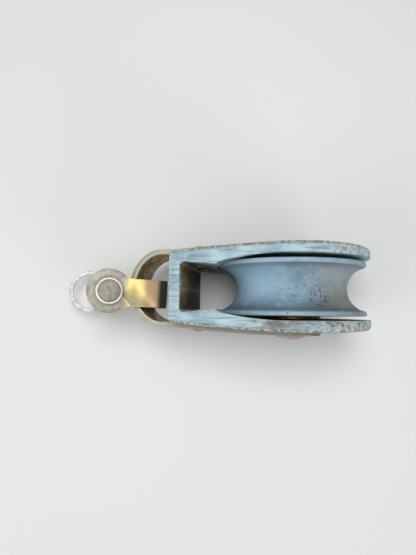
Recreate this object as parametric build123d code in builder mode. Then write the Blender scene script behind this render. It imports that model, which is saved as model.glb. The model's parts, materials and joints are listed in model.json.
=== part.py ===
"""A rope block with one wide sheave, lying on its edge with its shackle stretched out beside it.

Two cast cheeks meet in the middle of the crown and carry the axle. A flat bail strap is riveted down the
outside of both cheeks, is held under the axle heads, and loops out past the crown. A U-shaped shackle, bent
from strip, hangs in that loop and is closed by a clevis pin with a split ring.

Everything is drawn in the block frame: origin at the middle of the sheave, +Y along the axle, -X towards
the crown. keep() then lays each piece down on the straight lower edge of the cheeks, so that +Z is up.
"""

from build123d import *
import math
import os

# ---- driving dimensions, in millimetres and degrees ----
SHEAVE_R = 38.0
SHEAVE_W = 27.0
GROOVE_R = 11.4
GROOVE_FLOOR_R = 28.4
GROOVE_LIP_ROUND = 1.2
FLANGE_ROUND = 0.7
RECESS_IN_R = 17.0
RECESS_OUT_R = 32.0
RECESS_DEPTH = 2.5

AXLE_R = 8.0
BUSH_R = 11.0
RUNNING_GAP = 0.05
WASHER_R = 15.0
WASHER_T = 1.6
WASHER_GAP = 0.2
WASHER_CHAMFER = 0.2

CHEEK_R = 40.0
CHEEK_T = 5.5
CHEEK_END_T = 4.9
CROWN_X = -59.0
CROWN_T = 5.3
CROWN_HALF_W = 31.0
CROWN_HALF_H = 17.5
THROAT_HALF_H = 12.3
THROAT_LIP_HALF_H = 10.8
THROAT_LIP_X = -36.0
RAMP_END_X = -4.0
RAMP_SWEEP = 0.8
RAMP_PULL = 0.4
POCKET_R = 39.3
RIM_ROUND = 2.2
THROAT_ROUND = 2.0
JOINT_CHAMFER = 0.4

DOWEL_R = 1.5
DOWEL_HALF_L = 5.0
DOWEL_Z = 20.0

STRAP_T = 2.6
STRAP_HALF_W = 15.0
BAIL_X = -66.0
BAIL_REACH = 17.3

AXLE_HEAD_R = 10.0
AXLE_HEAD_H = 2.8
AXLE_SEAT_DEPTH = 0.3
AXLE_SCREW_R = 4.0
AXLE_SCREW_L = 16.0
DRIVE_SLOT_W = 1.6
DRIVE_SLOT_DEPTH = 1.3

RIVET_R = 2.5
RIVET_HEAD_R = 4.2
RIVET_HEAD_H = 1.6
RIVET_TAIL_R = 3.9
RIVET_TAIL_H = 0.8
RIVET_SEAT_GAP = 0.1
RIVET_X = -47.5
RIVET_Z = 10.0
RIVET_SEAT_DEPTH = 0.5
RIVET_TAIL_SINK = 1.1

SHACKLE_T = 2.4
SHACKLE_GAP = 32.5
SHACKLE_BEND_R = 3.0
SHACKLE_LENGTH = 29.5
SHACKLE_HALF_W = 7.1
SHACKLE_EYE_R = 11.4
SHACKLE_NECK_R = 9.0

PIN_R = 4.76
PIN_HOLE_GAP = 0.09
PIN_HEAD_R = 6.8
PIN_HEAD_T = 2.2
PIN_CHAMFER = 0.6
PIN_SIDE_PLAY = 0.1
CROSS_HOLE_R = 2.12
CROSS_HOLE_AT = 21.8
PIN_END_AT = 25.4

RING_MID_R = 10.9
RING_WIRE_W = 2.4
RING_WIRE_T = 1.8
RING_OFFSET = 10.28
RING_EDGE_ROUND = 0.25

# Where the shackle lies in the block frame: the middle of its pin, its lift about Y and its turn about Z.
SHACKLE_AT = (-97.8, -2.0, 6.6)
SHACKLE_LIFT = 20.0
SHACKLE_TURN = 3.0

# ---- worked out from those ----
POCKET_H = SHEAVE_W / 2 + WASHER_T + 2 * WASHER_GAP
CHEEK_MID_H = POCKET_H + CHEEK_T
CHEEK_END_H = POCKET_H + CHEEK_END_T
GROOVE_MID_R = GROOVE_FLOOR_R + GROOVE_R
CORNER_DISTANCE = math.hypot(CROWN_X, CROWN_HALF_W)
LAY_ANGLE = math.degrees(math.atan2(-CROWN_X, CROWN_HALF_W) - math.acos(CHEEK_R / CORNER_DISTANCE))
TANGENT_X = -CHEEK_R * math.sin(math.radians(LAY_ANGLE))
TANGENT_Z = CHEEK_R * math.cos(math.radians(LAY_ANGLE))
CROWN_INNER_X = CROWN_X + CROWN_T
AXLE_SEAT_H = CHEEK_MID_H + STRAP_T - AXLE_SEAT_DEPTH
DOWEL_X = CROWN_X + CROWN_T / 2
DEEP = 2 * CHEEK_R
NEAR = 0.05


def circle_through(first, second, third):
    """Centre height and radius of the circle through three points of the cheek's outside."""
    (ax, ay), (bx, by), (cx, cy) = first, second, third
    d = 2 * (ax * (by - cy) + bx * (cy - ay) + cx * (ay - by))
    a2 = ax**2 + ay**2
    b2 = bx**2 + by**2
    c2 = cx**2 + cy**2
    mid_x = (a2 * (by - cy) + b2 * (cy - ay) + c2 * (ay - by)) / d
    mid_y = (a2 * (cx - bx) + b2 * (ax - cx) + c2 * (bx - ax)) / d
    return mid_x, mid_y, math.hypot(ax - mid_x, ay - mid_y)


ARC_X, ARC_Y, ARC_R = circle_through((CROWN_X, CROWN_HALF_H), (0, CHEEK_MID_H), (CHEEK_R, CHEEK_END_H))


def outside(x, lift=0.0):
    """A point on the cheek's bowed outside, or lift above it."""
    return (x, ARC_Y + math.sqrt((ARC_R + lift) ** 2 - (x - ARC_X) ** 2))


def dome(seat, base, height):
    """Draws half the outline of a dome from its seat on the axis: its base radius, and its height along Y."""
    x, y = seat
    sphere = (base**2 + height**2) / (2 * abs(height))
    half_angle = math.asin(base / sphere) / 2
    rise = abs(height) - sphere * (1 - math.cos(half_angle))
    middle = (x + sphere * math.sin(half_angle), y + math.copysign(rise, height))
    ThreePointArc((x + base, y), middle, (x, y + height))
    Polyline((x, y + height), (x, y), (x + base, y))


def align_out(side):
    """Alignment along Y that grows away from the middle of the block on this side."""
    return Align.MIN if side > 0 else Align.MAX


RIVET_SEAT_H = outside(RIVET_X, STRAP_T)[1] - RIVET_SEAT_DEPTH
RIVET_TAIL_SEAT_H = THROAT_LIP_HALF_H + RIVET_TAIL_SINK


def circles(builder, radius):
    """The round edges of one radius in a part that is being made."""
    round_edges = builder.edges().filter_by(GeomType.CIRCLE)
    return round_edges.filter_by(lambda e: abs(e.radius - radius) < NEAR)


def keep(piece, name):
    """Lays a finished piece down on the cheeks' straight edge, labels it and writes it."""
    laid = piece.rotate(Axis.Y, -LAY_ANGLE)
    laid.label = name
    export_step(laid, f"parts/{name}.step")


def on_shackle(piece):
    """Moves a piece drawn about the middle of the clevis pin to where the shackle lies."""
    turned = piece.rotate(Axis.Z, -SHACKLE_TURN)
    return turned.rotate(Axis.Y, SHACKLE_LIFT).translate(SHACKLE_AT)


os.makedirs("parts", exist_ok=True)

# ---- sheave: a round groove between two flanges, relieved on both sides of the hub ----
with BuildPart() as sheave:
    with BuildSketch(Plane.XY):
        with Locations(((SHEAVE_R + BUSH_R) / 2, 0)):
            Rectangle(SHEAVE_R - BUSH_R, SHEAVE_W)
        with Locations((GROOVE_MID_R, 0)):
            Circle(GROOVE_R, mode=Mode.SUBTRACT)
        for side in (-1, 1):
            with BuildLine():
                Polyline(
                    (RECESS_IN_R, side * SHEAVE_W / 2),
                    (RECESS_IN_R + RECESS_DEPTH, side * (SHEAVE_W / 2 - RECESS_DEPTH)),
                    (RECESS_OUT_R - RECESS_DEPTH, side * (SHEAVE_W / 2 - RECESS_DEPTH)),
                    (RECESS_OUT_R, side * SHEAVE_W / 2),
                    close=True,
                )
            make_face(mode=Mode.SUBTRACT)
    revolve(axis=Axis.Y)
    rims = circles(sheave, SHEAVE_R).sort_by(lambda e: abs(e.position_at(0).Y))
    fillet(rims[:2], radius=GROOVE_LIP_ROUND)
    rims = circles(sheave, SHEAVE_R).sort_by(lambda e: abs(e.position_at(0).Y))
    fillet(rims[:2], radius=FLANGE_ROUND)
keep(sheave.part, "sheave")

# ---- bush pressed into the hub, and a thrust washer at each end of it ----
with BuildPart() as sheave_bush:
    with BuildSketch(Plane.XZ.offset(-SHEAVE_W / 2)):
        Circle(BUSH_R)
        Circle(AXLE_R + RUNNING_GAP, mode=Mode.SUBTRACT)
    extrude(amount=SHEAVE_W)
keep(sheave_bush.part, "sheave_bush")

WASHER_FACE = SHEAVE_W / 2 + WASHER_GAP
for name, low_face in (("upper", WASHER_FACE), ("lower", -WASHER_FACE - WASHER_T)):
    with BuildPart() as thrust_washer:
        with BuildSketch(Plane.XZ.offset(-low_face)):
            Circle(WASHER_R)
            Circle(AXLE_R + 2 * RUNNING_GAP, mode=Mode.SUBTRACT)
        extrude(amount=-WASHER_T)
        chamfer(circles(thrust_washer, WASHER_R), length=WASHER_CHAMFER)
    keep(thrust_washer.part, f"thrust_washer_{name}")

# ---- bail strap: down both cheeks, with its ends rounded about the axle, and out past the crown ----
STRAP_END_X = STRAP_HALF_W + AXLE_R
STRAP_RUN = BAIL_REACH - BAIL_X + STRAP_T
BAIL_HALF_H = outside(CROWN_X, STRAP_T)[1]
with BuildPart() as bail_strap:
    with BuildSketch(Plane.XY):
        with Locations((ARC_X, ARC_Y)):
            Circle(ARC_R + STRAP_T)
            Circle(ARC_R, mode=Mode.SUBTRACT)
        with Locations((CROWN_X, 0)):
            Rectangle(STRAP_END_X - CROWN_X, 2 * CHEEK_R, align=(Align.MIN, Align.MIN), mode=Mode.INTERSECT)
        mirror(about=Plane.XZ)
    extrude(amount=STRAP_HALF_W, both=True)
    with BuildSketch(Plane.XY):
        with Locations((BAIL_X, 0)):
            Ellipse(BAIL_REACH, BAIL_HALF_H)
            Ellipse(BAIL_REACH - STRAP_T, BAIL_HALF_H - STRAP_T, mode=Mode.SUBTRACT)
            Rectangle(BAIL_REACH, 2 * BAIL_HALF_H, align=(Align.MAX, Align.CENTER), mode=Mode.INTERSECT)
        for side in (-1, 1):
            with Locations((BAIL_X, side * (BAIL_HALF_H - STRAP_T / 2))):
                Rectangle(CROWN_X - BAIL_X, STRAP_T, align=(Align.MIN, Align.CENTER))
    extrude(amount=STRAP_HALF_W, both=True)
    with BuildSketch(Plane.XZ.offset(-DEEP / 2)):
        Circle(STRAP_HALF_W)
        Rectangle(STRAP_RUN, 2 * STRAP_HALF_W, align=(Align.MAX, Align.CENTER))
        Circle(AXLE_R, mode=Mode.SUBTRACT)
        with Locations((RIVET_X, RIVET_Z), (RIVET_X, -RIVET_Z)):
            Circle(RIVET_R, mode=Mode.SUBTRACT)
    extrude(amount=DEEP, mode=Mode.INTERSECT)
    for side in (-1, 1):
        with BuildSketch(Plane.XZ.offset(-side * AXLE_SEAT_H)):
            Circle(AXLE_HEAD_R)
        extrude(amount=-side * STRAP_T, mode=Mode.SUBTRACT)
        with BuildSketch(Plane.XZ.offset(-side * RIVET_SEAT_H)):
            with Locations((RIVET_X, RIVET_Z), (RIVET_X, -RIVET_Z)):
                Circle(RIVET_HEAD_R)
        extrude(amount=-side * STRAP_T, mode=Mode.SUBTRACT)
keep(bail_strap.part, "bail_strap")

# ---- cheeks: the upper one is made, and the lower one is its mirror image ----
with BuildPart() as cheek_upper:
    with BuildSketch(Plane.XZ):
        Circle(CHEEK_R)
        with BuildLine():
            Polyline(
                (CROWN_X, -CROWN_HALF_W),
                (TANGENT_X, -TANGENT_Z),
                (TANGENT_X, TANGENT_Z),
                (CROWN_X, CROWN_HALF_W),
                close=True,
            )
        make_face()
    extrude(amount=-DEEP)
    with BuildSketch(Plane.XY):
        with Locations((ARC_X, ARC_Y)):
            Circle(ARC_R)
        with Locations((CROWN_X, 0)):
            Rectangle(CHEEK_R - CROWN_X, DEEP, align=(Align.MIN, Align.MIN), mode=Mode.INTERSECT)
        with BuildLine():
            lip_edge = (THROAT_LIP_X, THROAT_LIP_HALF_H)
            Polyline((RAMP_END_X, POCKET_H), (CHEEK_R, POCKET_H), (CHEEK_R, 0), (CROWN_INNER_X, 0))
            Polyline((CROWN_INNER_X, 0), (CROWN_INNER_X, THROAT_HALF_H), lip_edge)
            ramp_ends = (lip_edge, (RAMP_END_X, POCKET_H))
            Spline(*ramp_ends, tangents=((1, RAMP_SWEEP), (1, 0)), tangent_scalars=(RAMP_PULL, 1))
        make_face(mode=Mode.SUBTRACT)
    extrude(amount=DEEP, both=True, mode=Mode.INTERSECT)
    fillet(cheek_upper.faces().sort_by(Axis.Y)[-1].edges(), radius=RIM_ROUND)
    upright = cheek_upper.edges().filter_by(Axis.Z)
    throat = upright.filter_by_position(Axis.X, CROWN_INNER_X - NEAR, CROWN_INNER_X + NEAR)
    fillet(throat.sort_by(Axis.Y)[-1], radius=THROAT_ROUND)
    with BuildSketch(Plane.XZ.offset(-POCKET_H)):
        Circle(POCKET_R)
    extrude(amount=POCKET_H, mode=Mode.SUBTRACT)
    chamfer(cheek_upper.faces().sort_by(Axis.Y)[0].edges(), length=JOINT_CHAMFER)
    with BuildSketch(Plane.XZ):
        Circle(AXLE_R)
        with Locations((RIVET_X, RIVET_Z), (RIVET_X, -RIVET_Z)):
            Circle(RIVET_R)
    extrude(amount=-DEEP, mode=Mode.SUBTRACT)
    with BuildSketch(Plane.XZ):
        with Locations((DOWEL_X, DOWEL_Z), (DOWEL_X, -DOWEL_Z)):
            Circle(DOWEL_R)
    extrude(amount=-DOWEL_HALF_L, mode=Mode.SUBTRACT)
    with BuildSketch(Plane.XZ.offset(-RIVET_TAIL_SEAT_H)):
        with Locations((RIVET_X, RIVET_Z), (RIVET_X, -RIVET_Z)):
            Circle(RIVET_TAIL_R)
    extrude(amount=RIVET_TAIL_SEAT_H, mode=Mode.SUBTRACT)
keep(cheek_upper.part, "cheek_upper")

with BuildPart() as cheek_lower:
    mirror(cheek_upper.part, about=Plane.XZ)
keep(cheek_lower.part, "cheek_lower")

# ---- dowels that line the two cheeks up where they meet in the crown ----
for name, z in (("front", DOWEL_Z), ("rear", -DOWEL_Z)):
    with BuildPart() as crown_dowel:
        with BuildSketch(Plane.XZ):
            with Locations((DOWEL_X, z)):
                Circle(DOWEL_R)
        extrude(amount=DOWEL_HALF_L, both=True)
    keep(crown_dowel.part, f"crown_dowel_{name}")

# ---- rivets: a domed head over the strap, and a tail spread against the inside of the throat ----
for level, side in (("upper", 1), ("lower", -1)):
    for name, z in (("front", RIVET_Z), ("rear", -RIVET_Z)):
        with BuildPart() as strap_rivet:
            with BuildSketch(Plane.XY.offset(z)):
                with Locations((RIVET_X, side * (RIVET_TAIL_SEAT_H - RIVET_TAIL_H))):
                    Rectangle(RIVET_TAIL_R - RIVET_SEAT_GAP, RIVET_TAIL_H, align=(Align.MIN, align_out(side)))
                with Locations((RIVET_X, side * RIVET_TAIL_SEAT_H)):
                    shank_l = RIVET_SEAT_H - RIVET_TAIL_SEAT_H
                    Rectangle(RIVET_R, shank_l, align=(Align.MIN, align_out(side)))
                with BuildLine():
                    dome((RIVET_X, side * RIVET_SEAT_H), RIVET_HEAD_R - RIVET_SEAT_GAP, side * RIVET_HEAD_H)
                make_face()
            revolve(axis=Axis((RIVET_X, 0, z), (0, 1, 0)))
        keep(strap_rivet.part, f"strap_rivet_{level}_{name}")

# ---- axle: a pin with its own domed head below, closed by a screw with a matching head above ----
with BuildPart() as axle_pin:
    with BuildSketch(Plane.XY):
        with Locations((0, -AXLE_SEAT_H)):
            Rectangle(AXLE_R, 2 * AXLE_SEAT_H, align=(Align.MIN, Align.MIN))
        with Locations((0, AXLE_SEAT_H)):
            Rectangle(AXLE_SCREW_R, AXLE_SCREW_L, align=(Align.MIN, Align.MAX), mode=Mode.SUBTRACT)
        with BuildLine():
            dome((0, -AXLE_SEAT_H), AXLE_HEAD_R - RIVET_SEAT_GAP, -AXLE_HEAD_H)
        make_face()
    revolve(axis=Axis.Y)
keep(axle_pin.part, "axle_pin")

with BuildPart() as axle_screw:
    with BuildSketch(Plane.XY):
        with Locations((0, AXLE_SEAT_H)):
            Rectangle(AXLE_SCREW_R, AXLE_SCREW_L, align=(Align.MIN, Align.MAX))
        with BuildLine():
            dome((0, AXLE_SEAT_H), AXLE_HEAD_R - RIVET_SEAT_GAP, AXLE_HEAD_H)
        make_face()
    revolve(axis=Axis.Y)
    with BuildSketch(Plane.XZ.offset(-AXLE_SEAT_H - AXLE_HEAD_H)):
        Rectangle(2 * AXLE_HEAD_R, DRIVE_SLOT_W)
    extrude(amount=DRIVE_SLOT_DEPTH, mode=Mode.SUBTRACT)
keep(axle_screw.part, "axle_screw")

# ---- shackle: drawn about the middle of its pin, with the pin along Z and the bend towards +X ----
with BuildPart() as shackle:
    with BuildSketch(Plane.XZ) as shackle_side:
        outer_h = SHACKLE_GAP + 2 * SHACKLE_T
        Rectangle(SHACKLE_LENGTH + SHACKLE_EYE_R, outer_h, align=(Align.MIN, Align.CENTER))
        inner_l = SHACKLE_LENGTH + SHACKLE_EYE_R - SHACKLE_T
        Rectangle(inner_l, SHACKLE_GAP, align=(Align.MIN, Align.CENTER), mode=Mode.SUBTRACT)
        inner_corners = shackle_side.vertices().group_by(Axis.X)[-2]
        outer_corners = shackle_side.vertices().group_by(Axis.X)[-1]
        fillet(inner_corners, radius=SHACKLE_BEND_R)
        fillet(outer_corners, radius=SHACKLE_BEND_R + SHACKLE_T)
    extrude(amount=SHACKLE_EYE_R, both=True)
    add(shackle.part.moved(Location((-SHACKLE_EYE_R, 0, 0))), mode=Mode.REPLACE)
    with BuildSketch(Plane.XY.offset(-SHACKLE_GAP)) as shackle_plan:
        Circle(SHACKLE_EYE_R)
        Rectangle(SHACKLE_LENGTH, 2 * SHACKLE_HALF_W, align=(Align.MIN, Align.CENTER))
        neck_x = math.sqrt(SHACKLE_EYE_R**2 - SHACKLE_HALF_W**2)
        necks = shackle_plan.vertices().filter_by_position(Axis.X, neck_x - NEAR, neck_x + NEAR)
        fillet(necks, radius=SHACKLE_NECK_R)
        Circle(PIN_R + PIN_HOLE_GAP, mode=Mode.SUBTRACT)
    extrude(amount=2 * SHACKLE_GAP, mode=Mode.INTERSECT)
keep(on_shackle(shackle.part), "shackle")

# ---- clevis pin: a flat head on the front eye, and a cross hole beyond the rear one ----
with BuildPart() as clevis_pin:
    head_z = SHACKLE_GAP / 2 + SHACKLE_T + PIN_SIDE_PLAY
    with BuildSketch(Plane.XY.offset(-PIN_END_AT)):
        Circle(PIN_R)
    extrude(amount=PIN_END_AT + head_z)
    with BuildSketch(Plane.XY.offset(head_z)):
        Circle(PIN_HEAD_R)
    extrude(amount=PIN_HEAD_T)
    ends = clevis_pin.edges().group_by(Axis.Z)
    chamfer(ends[-1], length=PIN_CHAMFER)
    chamfer(ends[0], length=PIN_CHAMFER)
    with BuildSketch(Plane.XZ):
        with Locations((0, -CROSS_HOLE_AT)):
            Circle(CROSS_HOLE_R)
    extrude(amount=2 * PIN_R, both=True, mode=Mode.SUBTRACT)
keep(on_shackle(clevis_pin.part), "clevis_pin")

# ---- split ring: both coils as one flat-sided band, threaded through the pin's cross hole ----
with BuildPart() as split_ring:
    with BuildSketch(Plane.XZ):
        with Locations((-RING_OFFSET + RING_MID_R, -CROSS_HOLE_AT)):
            RectangleRounded(RING_WIRE_W, RING_WIRE_T, RING_EDGE_ROUND)
    revolve(axis=Axis((-RING_OFFSET, 0, 0), (0, 0, 1)))
keep(on_shackle(split_ring.part), "split_ring")
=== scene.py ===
"""The looks of a weathered rope block: two cast cheeks, one wide sheave, a bail strap, a shackle and its pin.

Lengths are in metres. The block lies on the straight lower edge of its cheeks, so its own long axis dips by a
few degrees; materials that follow the block or the shackle measure along that piece's own axes.
"""

import json
import math

import bpy
from mathutils import Euler, Matrix, Vector

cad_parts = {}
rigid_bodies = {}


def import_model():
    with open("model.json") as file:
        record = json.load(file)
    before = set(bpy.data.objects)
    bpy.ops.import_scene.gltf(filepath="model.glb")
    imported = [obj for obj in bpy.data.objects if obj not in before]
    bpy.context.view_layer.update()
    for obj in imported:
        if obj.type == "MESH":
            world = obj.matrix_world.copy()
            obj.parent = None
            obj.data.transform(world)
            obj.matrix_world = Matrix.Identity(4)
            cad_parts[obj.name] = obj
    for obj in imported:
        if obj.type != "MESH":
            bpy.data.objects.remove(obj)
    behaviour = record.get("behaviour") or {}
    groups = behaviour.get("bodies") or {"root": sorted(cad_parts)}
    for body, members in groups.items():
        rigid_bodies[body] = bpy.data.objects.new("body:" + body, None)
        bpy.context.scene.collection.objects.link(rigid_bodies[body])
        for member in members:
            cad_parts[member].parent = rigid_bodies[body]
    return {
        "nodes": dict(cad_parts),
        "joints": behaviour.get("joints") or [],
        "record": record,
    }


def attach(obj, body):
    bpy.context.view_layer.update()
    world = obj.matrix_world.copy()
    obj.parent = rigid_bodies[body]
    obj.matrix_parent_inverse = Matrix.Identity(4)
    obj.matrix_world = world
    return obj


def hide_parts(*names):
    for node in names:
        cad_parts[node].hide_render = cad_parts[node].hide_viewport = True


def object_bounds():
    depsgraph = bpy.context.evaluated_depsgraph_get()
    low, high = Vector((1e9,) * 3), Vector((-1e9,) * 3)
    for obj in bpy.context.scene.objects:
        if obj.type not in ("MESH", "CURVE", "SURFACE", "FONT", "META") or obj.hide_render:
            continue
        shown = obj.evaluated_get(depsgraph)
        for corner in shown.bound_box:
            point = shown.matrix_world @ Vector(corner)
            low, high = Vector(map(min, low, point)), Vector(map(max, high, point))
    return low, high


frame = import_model()
CAD_BOX = [list(corner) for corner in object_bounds()]
JOINTS = {joint["name"]: joint for joint in frame["joints"]}

MM = 0.001
PIN_HEAD_R = 6.8 * MM
LOOP_AT = -66.0 * MM

# The block's own axes: up across the cheeks' depth, and along towards the free end.
BLOCK_UP = Vector(JOINTS["shackle_swing"]["axis"]).normalized()
BLOCK_SIDE = Vector(JOINTS["sheave_spin"]["axis"]).normalized()
BLOCK_ALONG = BLOCK_SIDE.cross(BLOCK_UP).normalized()

# The shackle's own axes: along its pin, along the pin's cross hole, and from the pin towards the bend.
PIN_AT = Vector(JOINTS["clevis_pin_spin"]["pos_m"])
PIN_AXIS = Vector(JOINTS["clevis_pin_spin"]["axis"]).normalized()
HOLE_AT = Vector(JOINTS["ring_swing"]["pos_m"])
HOLE_AXIS = Vector(JOINTS["ring_swing"]["axis"]).normalized()
SHACKLE_ALONG = HOLE_AXIS.cross(PIN_AXIS).normalized()

# The split ring, wound from flat wire.
RING_OFFSET = 10.28 * MM
RING_MID_R = 10.9 * MM
RING_WIRE_W = 2.4 * MM
RING_COIL_T = 0.84 * MM
RING_COIL_LIFT = 0.92 * MM
RING_TURNS = 1.93
RING_STEPS = 288
RING_START = math.pi * 1.03
RING_CORNER = 0.22 * MM


# ---- shader maths ----
class Value:
    """A shader socket that Python's arithmetic works on."""

    def __init__(self, finish, socket):
        self.finish = finish
        self.socket = socket

    def math(self, operation, *others, clamp=False):
        values = dict(enumerate((self, *others)))
        return self.finish.node("ShaderNodeMath", {"operation": operation, "use_clamp": clamp}, values)

    def __add__(self, other):
        return self.math("ADD", other)

    __radd__ = __add__

    def __mul__(self, other):
        return self.math("MULTIPLY", other)

    __rmul__ = __mul__

    def __sub__(self, other):
        return self.math("SUBTRACT", other)

    def __rsub__(self, other):
        return self.finish.node("ShaderNodeMath", {"operation": "SUBTRACT"}, {0: other, 1: self})

    def __abs__(self):
        return self.math("ABSOLUTE")

    def hypot(self, other):
        return (self * self + other * other).math("SQRT")

    def rise(self, low, high):
        """0 below low and 1 above high, or the other way round where high is the smaller."""
        settings = {"interpolation_type": "SMOOTHSTEP", "clamp": True}
        flip = high < low
        ends = (high, low) if flip else (low, high)
        ramp = self.finish.node("ShaderNodeMapRange", settings, {0: self, 1: ends[0], 2: ends[1]})
        return 1 - ramp if flip else ramp

    def band(self, centre, half, soft):
        """1 within half of centre, falling to 0 over soft."""
        return abs(self - centre).rise(half + soft, half)


class Finish:
    """One material: its node tree, and the few ways in which nodes are added to it."""

    def __init__(self, name):
        self.material = bpy.data.materials.new(name)
        self.material.use_nodes = True
        self.tree = self.material.node_tree
        self.shader = self.tree.nodes["Principled BSDF"]
        coordinates = self.tree.nodes.new("ShaderNodeTexCoord")
        self.place = Value(self, coordinates.outputs["Object"])
        self.normal = Value(self, coordinates.outputs["Normal"])

    def node(self, kind, settings=None, values=None, output=0):
        """Adds one node: its settings first, then the values or links of its sockets."""
        made = self.tree.nodes.new(kind)
        for key, setting in (settings or {}).items():
            setattr(made, key, setting)
        for key, value in (values or {}).items():
            self.plug(made.inputs[key], value)
        return Value(self, made.outputs[output])

    def plug(self, socket, value):
        if isinstance(value, Value):
            self.tree.links.new(value.socket, socket)
        elif isinstance(value, (Vector, tuple)) and socket.type == "RGBA":
            socket.default_value = (*value[:3], 1)
        else:
            socket.default_value = value

    def vector(self, operation, *values, output=0):
        return self.node("ShaderNodeVectorMath", {"operation": operation}, dict(enumerate(values)), output)

    def along(self, axis, start=Vector((0, 0, 0))):
        """Distance from start along an axis."""
        return self.vector("DOT_PRODUCT", self.vector("SUBTRACT", self.place, start), axis, output=1)

    def facing(self, axis):
        """1 where the surface looks along an axis, -1 where it looks the other way."""
        return self.vector("DOT_PRODUCT", self.normal, axis, output=1)

    def noise(self, size, stretch=(1, 1, 1), detail=4, roughness=0.55, seed=0.0):
        """Soft noise from 0 to 1, with features about size across, drawn out along axes of larger stretch."""
        scale = Vector((1 / (size * s) for s in stretch))
        where = self.vector("MULTIPLY", self.place, scale)
        where = self.vector("ADD", where, Vector((seed, seed * 1.7, seed * 0.6)))
        values = {"Vector": where, "Scale": 1.0, "Detail": detail, "Roughness": roughness}
        return self.node("ShaderNodeTexNoise", None, values)

    def pits(self, size, keep, seed=0.0):
        """Small round pits: 1 in the middle of each. keep is the share of cells that have one."""
        where = self.vector("ADD", self.place, Vector((seed, seed, seed)))
        voronoi = self.node("ShaderNodeTexVoronoi", None, {"Vector": where, "Scale": 1 / size})
        colour = Value(self, voronoi.socket.node.outputs["Color"])
        chosen = self.node("ShaderNodeSeparateColor", None, {"Color": colour}).rise(1 - keep, 1.02 - keep)
        return voronoi.rise(0.30, 0.10) * chosen

    def mix(self, amount, first, second):
        """Colour that goes from first to second as amount goes from 0 to 1."""
        made = self.tree.nodes.new("ShaderNodeMix")
        made.data_type = "RGBA"
        self.plug(made.inputs["Factor"], amount)
        self.plug(made.inputs[6], first)
        self.plug(made.inputs[7], second)
        return Value(self, made.outputs[2])

    def bump(self, height, depth, under=None):
        values = {"Height": height, "Distance": depth, "Strength": 1.0}
        if under is not None:
            values["Normal"] = under
        return self.node("ShaderNodeBump", None, values)

    def paint(self, **channels):
        """Sets the shader's sockets; an underscore in a name stands for a space."""
        for name, value in channels.items():
            self.plug(self.shader.inputs[name.replace("_", " ")], value)
        return self.material


def colour(red, green, blue):
    """A colour as it looks on a screen, from 0 to 255, turned into the linear values that shaders use."""
    shares = (red / 255, green / 255, blue / 255)
    return tuple(((share + 0.055) / 1.055) ** 2.4 if share > 0.04 else share / 12.92 for share in shares)


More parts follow.
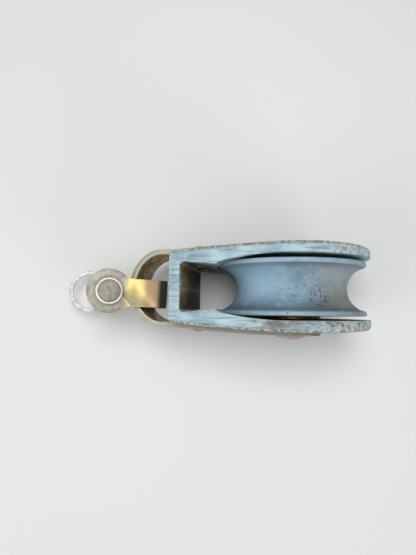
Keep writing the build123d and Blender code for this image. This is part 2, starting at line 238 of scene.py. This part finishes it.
# ---- finishes ----
def cast_cheek():
    """Cast alloy gone chalky blue-grey, with dark grime on its outsides, brown in the throat that is partly
    dirt and partly painted shade and warm reflection, and a painted shadow on the crown's inner face.
    """
    f = Finish("chalky_cast_alloy")
    along, side, up = (f.along(axis) for axis in (BLOCK_ALONG, BLOCK_SIDE, BLOCK_UP))
    cloud = f.noise(9 * MM, seed=2.0)
    streak = f.noise(1.1 * MM, stretch=(14, 1, 6), detail=6, seed=5.0)
    grain = f.noise(0.55 * MM, detail=3, seed=1.0)
    skin = f.mix(cloud.rise(0.35, 0.68), colour(146, 170, 179), colour(176, 198, 204))
    skin = f.mix(streak.rise(0.48, 0.64) * 0.65, skin, colour(98, 124, 136))
    skin = f.mix(grain.rise(0.60, 0.74) * 0.30, skin, colour(206, 218, 220))

    outward = f.facing(BLOCK_SIDE) * side.math("SIGN")
    outside = outward.rise(0.10, 0.50)
    grime = f.noise(4 * MM, stretch=(3, 1, 2), detail=7, roughness=0.65, seed=9.0)
    soot = f.mix(grime.rise(0.38, 0.66), colour(84, 78, 70), colour(138, 132, 122))
    skin = f.mix(outside * (0.45 + 0.5 * grime.rise(0.30, 0.60)), skin, soot)

    # The brown on the crown's inner face and in the inner corner, stronger deeper in the throat, is partly
    # dirt and partly painted shade and painted warm reflection.
    inward = outward.rise(-0.5, -0.9)
    crown_face = f.facing(BLOCK_ALONG).rise(0.5, 0.9) * along.rise(-40 * MM, -50 * MM)
    corner = along.rise(-34 * MM, -50 * MM) * inward
    depth = up.rise(33 * MM, 26 * MM)
    throat_dirt_and_shade = crown_face.math("MAXIMUM", corner, clamp=True) * (0.25 + 0.75 * depth)
    # Painted shadow: the crown's inner face goes nearly black towards its lower side, past a slanting edge.
    crown_shadow = crown_face * (up * 0.5 + side).rise(12 * MM, -6 * MM)
    dirt_and_shade_brown = f.mix(f.noise(3 * MM, detail=6, seed=4.0).rise(0.35, 0.7), colour(98, 86, 54), colour(150, 132, 92))
    chips = f.noise(0.8 * MM, detail=5, roughness=0.7, seed=7.0).rise(0.66, 0.72)
    dirt_and_shade_brown = f.mix(chips * 0.6, dirt_and_shade_brown, colour(158, 150, 134))
    skin = f.mix(throat_dirt_and_shade, skin, dirt_and_shade_brown)
    skin = f.mix(crown_shadow * 0.75, skin, colour(44, 38, 28))

    stain_zone = along.band(8 * MM, 20 * MM, 14 * MM) * side.rise(-13 * MM, -16 * MM)
    stain_zone = stain_zone * side.rise(-20.5 * MM, -18 * MM)
    stain = stain_zone * f.noise(5 * MM, stretch=(2, 1, 1), detail=6, seed=12.0).rise(0.36, 0.58)
    skin = f.mix(stain * 0.9, skin, colour(104, 98, 86))
    rust_zone = along.rise(2 * MM, 26 * MM) * side.rise(14 * MM, 20 * MM)
    rust = rust_zone * f.noise(2.2 * MM, stretch=(3, 1, 1), detail=6, seed=15.0).rise(0.50, 0.64)
    skin = f.mix(rust * 0.7, skin, colour(176, 148, 120))

    squarest = abs(f.facing(BLOCK_ALONG)).math("MAXIMUM", abs(f.facing(BLOCK_SIDE)))
    squarest = squarest.math("MAXIMUM", abs(f.facing(BLOCK_UP)))
    wear = squarest.rise(0.97, 0.86) * f.noise(1.8 * MM, detail=6, seed=18.0).rise(0.40, 0.58)
    skin = f.mix(wear * 0.55, skin, colour(214, 222, 222))

    pits = f.pits(1.4 * MM, 0.16, seed=0.3)
    skin = f.mix(pits * 0.7, skin, colour(70, 76, 80))
    low = f.bump(cloud, 0.25 * MM)
    fine = f.bump(grain * 0.7 + streak * 0.5 - pits * 1.2, 0.09 * MM, low)
    rough = 0.46 + 0.22 * grime + throat_dirt_and_shade * 0.2
    return f.paint(Base_Color=skin, Roughness=rough, Metallic=0.2, Normal=fine)


def worn_sheave():
    """Blue-grey sheave, polished on its lips, scored round the groove, with brown dirt on one side of it,
    painted light on its other side and painted shade next to the lower cheek.
    """
    f = Finish("rope_worn_sheave")
    x, y, z = (f.along(Vector(axis)) for axis in ((1, 0, 0), (0, 1, 0), (0, 0, 1)))
    radius = x.hypot(z)
    cloud = f.noise(11 * MM, detail=5, seed=3.0)
    score = f.noise(0.28 * MM, stretch=(40, 1, 40), detail=3, seed=6.0)
    scuff = f.noise(1.6 * MM, stretch=(4, 1, 2), detail=8, roughness=0.7, seed=8.0)
    skin = f.mix(cloud.rise(0.34, 0.66), colour(110, 138, 156), colour(136, 160, 174))
    skin = f.mix(scuff.rise(0.56, 0.66) * 0.5, skin, colour(176, 194, 204))
    skin = f.mix(scuff.rise(0.44, 0.34) * 0.6, skin, colour(76, 92, 104))
    skin = f.mix(score.rise(0.55, 0.75) * 0.35, skin, colour(92, 110, 126))

    # Painted light: the sheave is made lighter and bluer on its side towards -X, in the half towards the
    # upper cheek.
    lit_side = x.rise(-4 * MM, -20 * MM) * y.rise(-9 * MM, -2 * MM)
    skin = f.mix(lit_side * 0.55, skin, colour(164, 198, 218))
    sweep = (x + z * 0.15).rise(0, 26 * MM)
    dirt = sweep * (y * -1 + x * 0.12).rise(-5 * MM, 8 * MM)
    dirt = dirt * f.noise(7 * MM, detail=6, seed=11.0).rise(0.26, 0.52)
    skin = f.mix(dirt * 0.9, skin, colour(84, 76, 58))
    grey = (x + y * 0.5).rise(-2 * MM, 20 * MM) * radius.rise(37 * MM, 33 * MM)
    skin = f.mix(grey * 0.6, skin, colour(156, 158, 154))
    # Painted shade: the sheave darkens inside its lip where it sits next to the lower cheek.
    lower_cheek_shade = y.rise(-7 * MM, -11 * MM) * radius.rise(36.5 * MM, 34 * MM)
    skin = f.mix(lower_cheek_shade * 0.55, skin, colour(70, 76, 80))

    lip = radius.rise(36.2 * MM, 37.4 * MM)
    lip_wear = lip * (0.45 + 0.55 * f.noise(2.4 * MM, detail=6, seed=14.0).rise(0.32, 0.56))
    skin = f.mix(lip_wear * 0.7, skin, colour(152, 174, 186))

    bruise = f.vector("DISTANCE", f.place, Vector((8 * MM, -5 * MM, 29 * MM)), output=1).rise(8 * MM, 2 * MM)
    dents = f.noise(1.3 * MM, detail=3, seed=21.0).rise(0.54, 0.60) * bruise
    pits = (f.pits(1.9 * MM, 0.10, seed=0.7) + dents).math("MINIMUM", 1.0)
    skin = f.mix(pits * 0.8, skin, colour(46, 48, 50))
    side_face = abs(f.facing(Vector((0, 1, 0)))).rise(0.8, 0.95)
    skin = f.mix(side_face * 0.4, skin, colour(96, 104, 110))
    relief = score * 0.35 + scuff * 0.7 - pits * 1.4
    normal = f.bump(relief, 0.10 * MM, f.bump(cloud, 0.3 * MM))
    return f.paint(Base_Color=skin, Roughness=0.48 + 0.25 * cloud + dirt * 0.15, Metallic=0.15, Normal=normal)


def strap_stains_and_painted_reflection():
    """Stainless strip: bright along its cut edges, golden-brown inside the loop, partly tea staining where
    salt water dried and partly painted warm reflection.
    """
    f = Finish("strap_tea_stains_and_painted_reflection")
    along = f.along(BLOCK_ALONG)
    from_loop = f.vector("SUBTRACT", f.place, BLOCK_ALONG * LOOP_AT)
    inward = f.vector("DOT_PRODUCT", f.vector("NORMALIZE", from_loop), f.normal, output=1).rise(0.2, -0.4)
    grain = f.noise(0.22 * MM, stretch=(1, 1, 30), detail=3, seed=2.0)
    cloud = f.noise(6 * MM, detail=6, roughness=0.62, seed=5.0)
    skin = f.mix(cloud.rise(0.35, 0.65), colour(158, 150, 136), colour(196, 190, 178))
    tea = f.noise(4 * MM, stretch=(1, 1, 2), detail=6, seed=8.0).rise(0.44, 0.62)
    skin = f.mix(tea * 0.55, skin, colour(146, 116, 78))
    # The golden-brown on the loop's inner faces is partly tea staining and partly painted warm reflection.
    gold_cloud = f.noise(3 * MM, detail=4, seed=3.0).rise(0.4, 0.62)
    gold = f.mix(gold_cloud, colour(166, 130, 82), colour(234, 198, 136))
    skin = f.mix(inward * along.rise(-60 * MM, -66 * MM) * 0.9, skin, gold)
    edge = abs(f.facing(BLOCK_UP)).rise(0.6, 0.9)
    skin = f.mix(edge * 0.85, skin, colour(158, 156, 142))
    on_cheek = along.rise(-60 * MM, -52 * MM) * (1 - edge)
    grime = f.noise(3 * MM, stretch=(3, 1, 1), detail=7, seed=10.0).rise(0.36, 0.6)
    skin = f.mix(on_cheek * (0.15 + 0.5 * grime), skin, colour(118, 104, 90))
    normal = f.bump(grain * 0.5 + cloud * 0.6, 0.05 * MM)
    rough = 0.36 + 0.22 * cloud + on_cheek * 0.15
    return f.paint(Base_Color=skin, Roughness=rough, Metallic=0.65, Normal=normal)


def shackle_stains_and_painted_light():
    """Bent strip: grey about the eye, a band of painted gold highlight then tan towards the bend, black
    painted shade at the bend with browner painted shade on the web, painted highlights on its edges.
    """
    f = Finish("shackle_tan_and_painted_light")
    along = f.along(SHACKLE_ALONG, PIN_AT)
    across = f.along(HOLE_AXIS, PIN_AT)
    level = f.along(PIN_AXIS, PIN_AT)
    radius = along.hypot(across)
    cloud = f.noise(3.2 * MM, detail=6, roughness=0.6, seed=2.0)
    fine = f.noise(0.5 * MM, detail=5, roughness=0.7, seed=4.0)
    skin = f.mix(cloud.rise(0.36, 0.64), colour(132, 128, 116), colour(162, 158, 146))
    rose = along.rise(9 * MM, 15 * MM)
    skin = f.mix(rose * 0.8, skin, colour(186, 150, 108))
    # Painted highlight: a bright warm band across the arms.
    gold = along.band(13.2 * MM, 1.8 * MM, 5.0 * MM) * (0.65 + 0.35 * cloud)
    skin = f.mix(gold * 0.97, skin, colour(255, 232, 146))
    # Painted shade: the bend goes nearly black.
    bend = along.rise(23.5 * MM, 26.5 * MM)
    skin = f.mix(bend * 0.97, skin, colour(16, 21, 27))
    # Painted shade: darker and browner on the web between the arms, near the bend.
    web_shade = abs(level).rise(15.5 * MM, 13 * MM) * along.rise(20 * MM, 25 * MM)
    skin = f.mix(web_shade * 0.5, skin, colour(120, 108, 90))
    halo = radius.band(PIN_HEAD_R, 0.5 * MM, 1.4 * MM)
    skin = f.mix(halo * 0.45, skin, colour(112, 104, 94))
    # Painted highlight: the strip's cut edges are made bright.
    edge = abs(f.facing(PIN_AXIS)).rise(0.90, 0.55) * (1 - bend)
    skin = f.mix(edge * 0.8, skin, colour(226, 208, 178))
    skin = f.mix(fine.rise(0.58, 0.72) * 0.35, skin, colour(112, 104, 94))
    scratch = f.noise(0.2 * MM, stretch=(24, 2, 24), detail=3, seed=9.0)
    normal = f.bump(fine * 0.6 + scratch * 0.35 + cloud * 0.5, 0.06 * MM)
    return f.paint(Base_Color=skin, Roughness=0.40 + 0.24 * fine, Metallic=0.45, Normal=normal)


def dull_steel(name, dark, light, stain, head_radius=None):
    """Dull stainless for turned and headed pieces; head_radius paints a highlight on the rim of the clevis
    pin's head.
    """
    f = Finish(name)
    cloud = f.noise(2.6 * MM, detail=6, roughness=0.62, seed=3.0)
    fine = f.noise(0.42 * MM, detail=5, roughness=0.7, seed=7.0)
    skin = f.mix(cloud.rise(0.36, 0.64), dark, light)
    skin = f.mix(fine.rise(0.56, 0.70) * 0.5, skin, stain)
    if head_radius:
        level = f.along(PIN_AXIS, PIN_AT)
        offset = f.vector("SUBTRACT", f.place, PIN_AT)
        flat = f.vector("SUBTRACT", offset, f.vector("PROJECT", offset, PIN_AXIS))
        radius = f.vector("LENGTH", flat, output=1)
        slope = abs(f.facing(PIN_AXIS)).rise(0.95, 0.80)
        # Painted highlight: a bright ring on the rim of the pin's head, broken up by noise.
        rim = radius.rise(head_radius - 1.1 * MM, head_radius - 0.7 * MM) * level.rise(10 * MM, 15 * MM)
        rim_highlight_patches = 0.6 + 0.4 * f.noise(1.5 * MM, seed=5.0).rise(0.35, 0.5)
        skin = f.mix(rim * rim_highlight_patches, skin, colour(250, 246, 234))
        seat = radius.rise(head_radius - 2.2 * MM, head_radius - 1.2 * MM) * (1 - rim) * (1 - slope)
        skin = f.mix(seat * 0.4, skin, colour(84, 78, 70))
    normal = f.bump(fine * 0.8 + cloud * 0.5, 0.05 * MM)
    return f.paint(Base_Color=skin, Roughness=0.40 + 0.26 * fine, Metallic=0.55, Normal=normal)


def bearing_bronze():
    """Plain bronze for the bush and the thrust washers."""
    f = Finish("bearing_bronze")
    cloud = f.noise(3 * MM, detail=5, seed=4.0)
    turned = f.noise(0.3 * MM, stretch=(20, 1, 20), detail=2, seed=1.0)
    skin = f.mix(cloud.rise(0.35, 0.65), colour(128, 96, 56), colour(176, 140, 88))
    normal = f.bump(turned, 0.04 * MM)
    return f.paint(Base_Color=skin, Roughness=0.35 + 0.2 * cloud, Metallic=0.9, Normal=normal)


CAST = cast_cheek()
SHEAVE = worn_sheave()
STRAP = strap_stains_and_painted_reflection()
SHACKLE = shackle_stains_and_painted_light()
BRONZE = bearing_bronze()
RIVET = dull_steel("stained_rivet_steel", colour(120, 104, 84), colour(170, 156, 136), colour(92, 70, 50))
AXLE = dull_steel("stained_axle_steel", colour(142, 128, 112), colour(190, 182, 168), colour(132, 96, 70))
PIN = dull_steel(
    "dull_pin_steel", colour(120, 114, 102), colour(148, 142, 130), colour(98, 92, 82), head_radius=PIN_HEAD_R
)
RING = dull_steel("bright_ring_steel", colour(168, 172, 166), colour(206, 210, 204), colour(140, 136, 126))


# ---- pieces that keep their CAD shape, with their cut edges softened ----
def softened(node, edge, material, body):
    """A copy of a CAD node with its sharp edges rounded by edge, standing for that node."""
    source = frame["nodes"][node]
    mesh = source.data.copy()
    piece = bpy.data.objects.new(f"{node}_finished", mesh)
    bpy.context.collection.objects.link(piece)
    weld = piece.modifiers.new("weld", "WELD")
    weld.merge_threshold = 1e-6
    bevel = piece.modifiers.new("soften", "BEVEL")
    bevel.width = edge
    bevel.segments = 2
    bevel.limit_method = "ANGLE"
    bevel.angle_limit = math.radians(32)
    settled(piece)
    piece.data.materials.clear()
    piece.data.materials.append(material)
    piece.data.shade_smooth()
    piece.data.set_sharp_from_angle(angle=math.radians(40))
    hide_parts(node)
    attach(piece, body)
    return piece


def settled(piece):
    """Turns what a piece's modifiers make into its mesh, and removes them."""
    graph = bpy.context.evaluated_depsgraph_get()
    done = bpy.data.meshes.new_from_object(piece.evaluated_get(graph))
    piece.modifiers.clear()
    piece.data = done


BODIES = {node: body for body, nodes in frame["record"]["behaviour"]["bodies"].items() for node in nodes}
FINISHES = {
    "cheek_upper": (CAST, 0.45 * MM),
    "cheek_lower": (CAST, 0.45 * MM),
    "sheave": (SHEAVE, 0.20 * MM),
    "bail_strap": (STRAP, 0.35 * MM),
    "shackle": (SHACKLE, 0.40 * MM),
    "clevis_pin": (PIN, 0.15 * MM),
    "axle_pin": (AXLE, 0.15 * MM),
    "axle_screw": (AXLE, 0.15 * MM),
    "strap_rivet_upper_front": (RIVET, 0.15 * MM),
    "strap_rivet_upper_rear": (RIVET, 0.15 * MM),
    "strap_rivet_lower_front": (RIVET, 0.15 * MM),
    "strap_rivet_lower_rear": (RIVET, 0.15 * MM),
}
for node, (material, edge) in FINISHES.items():
    softened(node, edge, material, BODIES[node])
INNER_FINISHES = {
    "sheave_bush": BRONZE,
    "thrust_washer_upper": BRONZE,
    "thrust_washer_lower": BRONZE,
    "crown_dowel_front": AXLE,
    "crown_dowel_rear": AXLE,
}
for node, material in INNER_FINISHES.items():
    for material_slot in frame["nodes"][node].material_slots:
        material_slot.material = material


# ---- split ring: two turns of flat wire, with a jog where it climbs from one turn to the next ----
class Tree:
    """A Geometry Nodes tree with named inputs, on one empty object."""

    def __init__(self, name, sizes):
        self.group = bpy.data.node_groups.new(name, "GeometryNodeTree")
        self.group.interface.new_socket("Geometry", in_out="INPUT", socket_type="NodeSocketGeometry")
        self.sizes = sizes
        self.ids = {}
        for label, (kind, _) in sizes.items():
            entry = self.group.interface.new_socket(label, in_out="INPUT", socket_type=kind)
            self.ids[label] = entry.identifier
        self.group.interface.new_socket("Geometry", in_out="OUTPUT", socket_type="NodeSocketGeometry")
        self.start = self.group.nodes.new("NodeGroupInput")
        self.end = self.group.nodes.new("NodeGroupOutput")

    def node(self, kind, settings=None, values=None, output=0):
        made = self.group.nodes.new(kind)
        for key, setting in (settings or {}).items():
            setattr(made, key, setting)
        for key, value in (values or {}).items():
            if isinstance(value, bpy.types.NodeSocket):
                self.group.links.new(value, made.inputs[key])
            else:
                made.inputs[key].default_value = value
        return made.outputs[output]

    def math(self, operation, first, second=0.0):
        return self.node("ShaderNodeMath", {"operation": operation}, {0: first, 1: second})

    def made(self, name, geometry):
        """The mesh that the tree makes, on an object of that name."""
        self.group.links.new(geometry, self.end.inputs[0])
        piece = bpy.data.objects.new(name, bpy.data.meshes.new(name))
        bpy.context.collection.objects.link(piece)
        modifier = piece.modifiers.new(name, "NODES")
        modifier.node_group = self.group
        for label, (_, value) in self.sizes.items():
            modifier[self.ids[label]] = value
        settled(piece)
        return piece


def split_ring():
    turned = Matrix((SHACKLE_ALONG, HOLE_AXIS, PIN_AXIS)).transposed().to_euler()
    centre = HOLE_AT - SHACKLE_ALONG * RING_OFFSET
    tree = Tree("flat_wire_ring", {
        "Mid radius": ("NodeSocketFloat", RING_MID_R),
        "Turns": ("NodeSocketFloat", RING_TURNS),
        "Coil lift": ("NodeSocketFloat", RING_COIL_LIFT),
        "Wire width": ("NodeSocketFloat", RING_WIRE_W),
        "Wire thickness": ("NodeSocketFloat", RING_COIL_T),
        "Corner": ("NodeSocketFloat", RING_CORNER),
        "Centre": ("NodeSocketVector", centre),
        "Turned": ("NodeSocketRotation", turned),
        "Finish": ("NodeSocketMaterial", RING),
    })
    given = tree.start.outputs
    line = tree.node("GeometryNodeMeshLine", {"mode": "OFFSET"}, {
        "Count": RING_STEPS + 1, "Offset": (0, 0, 0),
    })
    curve = tree.node("GeometryNodeMeshToCurve", None, {"Mesh": line})
    step = tree.math("DIVIDE", tree.node("GeometryNodeInputIndex"), RING_STEPS)
    turn = tree.math("MULTIPLY", step, tree.math("MULTIPLY", given["Turns"], math.tau))
    angle = tree.math("ADD", turn, RING_START)
    jog = tree.node("ShaderNodeMapRange", {"interpolation_type": "SMOOTHSTEP"}, {
        "Value": step, "From Min": 0.465, "From Max": 0.535, "To Min": -0.5, "To Max": 0.5,
    })
    place = tree.node("ShaderNodeCombineXYZ", None, {
        "X": tree.math("MULTIPLY", tree.math("COSINE", angle), given["Mid radius"]),
        "Y": tree.math("MULTIPLY", tree.math("SINE", angle), given["Mid radius"]),
        "Z": tree.math("MULTIPLY", jog, given["Coil lift"]),
    })
    curve = tree.node("GeometryNodeSetPosition", None, {"Geometry": curve, "Position": place})
    curve = tree.node("GeometryNodeSetCurveNormal", {"mode": "Z_UP"}, {"Curve": curve})
    outline = tree.node("GeometryNodeCurvePrimitiveQuadrilateral", None, {
        "Width": given["Wire width"], "Height": given["Wire thickness"],
    })
    outline = tree.node("GeometryNodeFilletCurve", {"mode": "POLY"}, {
        "Curve": outline, "Count": 3, "Radius": given["Corner"], "Limit Radius": True,
    })
    wire = tree.node("GeometryNodeCurveToMesh", None, {
        "Curve": curve, "Profile Curve": outline, "Fill Caps": True,
    })
    wire = tree.node("GeometryNodeTransform", None, {
        "Geometry": wire, "Translation": given["Centre"], "Rotation": given["Turned"],
    })
    wire = tree.node("GeometryNodeRealizeInstances", None, {"Geometry": wire})
    wire = tree.node("GeometryNodeSetMaterial", None, {"Geometry": wire, "Material": given["Finish"]})
    ring = tree.made("split_ring_coils", wire)
    ring.data.shade_smooth()
    ring.data.set_sharp_from_angle(angle=math.radians(45))
    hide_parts("split_ring")
    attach(ring, BODIES["split_ring"])


split_ring()


# ---- floor, light and camera ----
PART_MIDDLE = Vector((-0.03, 0, 0))
FLOOR_REACH = 3.0
CAMERA_AT = (-0.0476, -0.0111, 0.2587)
CAMERA_TURN_DEG = (3.76, -0.85, 0.63)
CAMERA_LENS = 42.5
WORLD_COLOUR = (0.80, 0.84, 0.88, 1)
WORLD_STRENGTH = 0.38


def pale_floor():
    """A wide pale sheet under the block."""
    low = CAD_BOX[0][2]
    mesh = bpy.data.meshes.new("floor")
    signs = ((-1, -1), (1, -1), (1, 1), (-1, 1))
    corners = [(x * FLOOR_REACH, y * FLOOR_REACH, low) for x, y in signs]
    mesh.from_pydata(corners, [], [(0, 1, 2, 3)])
    floor = bpy.data.objects.new("floor", mesh)
    bpy.context.collection.objects.link(floor)
    f = Finish("pale_floor")
    mesh.materials.append(f.paint(Base_Color=colour(226, 226, 224), Roughness=0.9))


def soft_lamp(name, place, size, power):
    """A round soft light that points at the middle of the part."""
    lamp = bpy.data.lights.new(name, "AREA")
    lamp.shape = "DISK"
    lamp.size = size
    lamp.energy = power
    holder = bpy.data.objects.new(name, lamp)
    holder.location = place
    holder.rotation_euler = (PART_MIDDLE - Vector(place)).to_track_quat("-Z", "Y").to_euler()
    bpy.context.collection.objects.link(holder)


def camera():
    """Looking down on the block from a hand's height above it, a little towards the shackle's end."""
    data = bpy.data.cameras.new("camera")
    data.sensor_fit = "HORIZONTAL"
    data.sensor_width = 36.0
    data.lens = CAMERA_LENS
    data.clip_start = 0.01
    holder = bpy.data.objects.new("camera", data)
    holder.location = CAMERA_AT
    holder.rotation_euler = Euler([math.radians(angle) for angle in CAMERA_TURN_DEG])
    bpy.context.collection.objects.link(holder)
    bpy.context.scene.camera = holder


pale_floor()
soft_lamp("overhead", (-0.06, 0.14, 0.62), 0.34, 2.5)
soft_lamp("fill", (-0.50, -0.28, 0.42), 0.50, 1.3)
soft_lamp("low", (0.45, -0.50, 0.30), 0.40, 1.4)
camera()

world = bpy.data.worlds.new("studio")
world.use_nodes = True
world.node_tree.nodes["Background"].inputs["Color"].default_value = WORLD_COLOUR
world.node_tree.nodes["Background"].inputs["Strength"].default_value = WORLD_STRENGTH
bpy.context.scene.world = world
bpy.context.scene.view_settings.view_transform = "Standard"
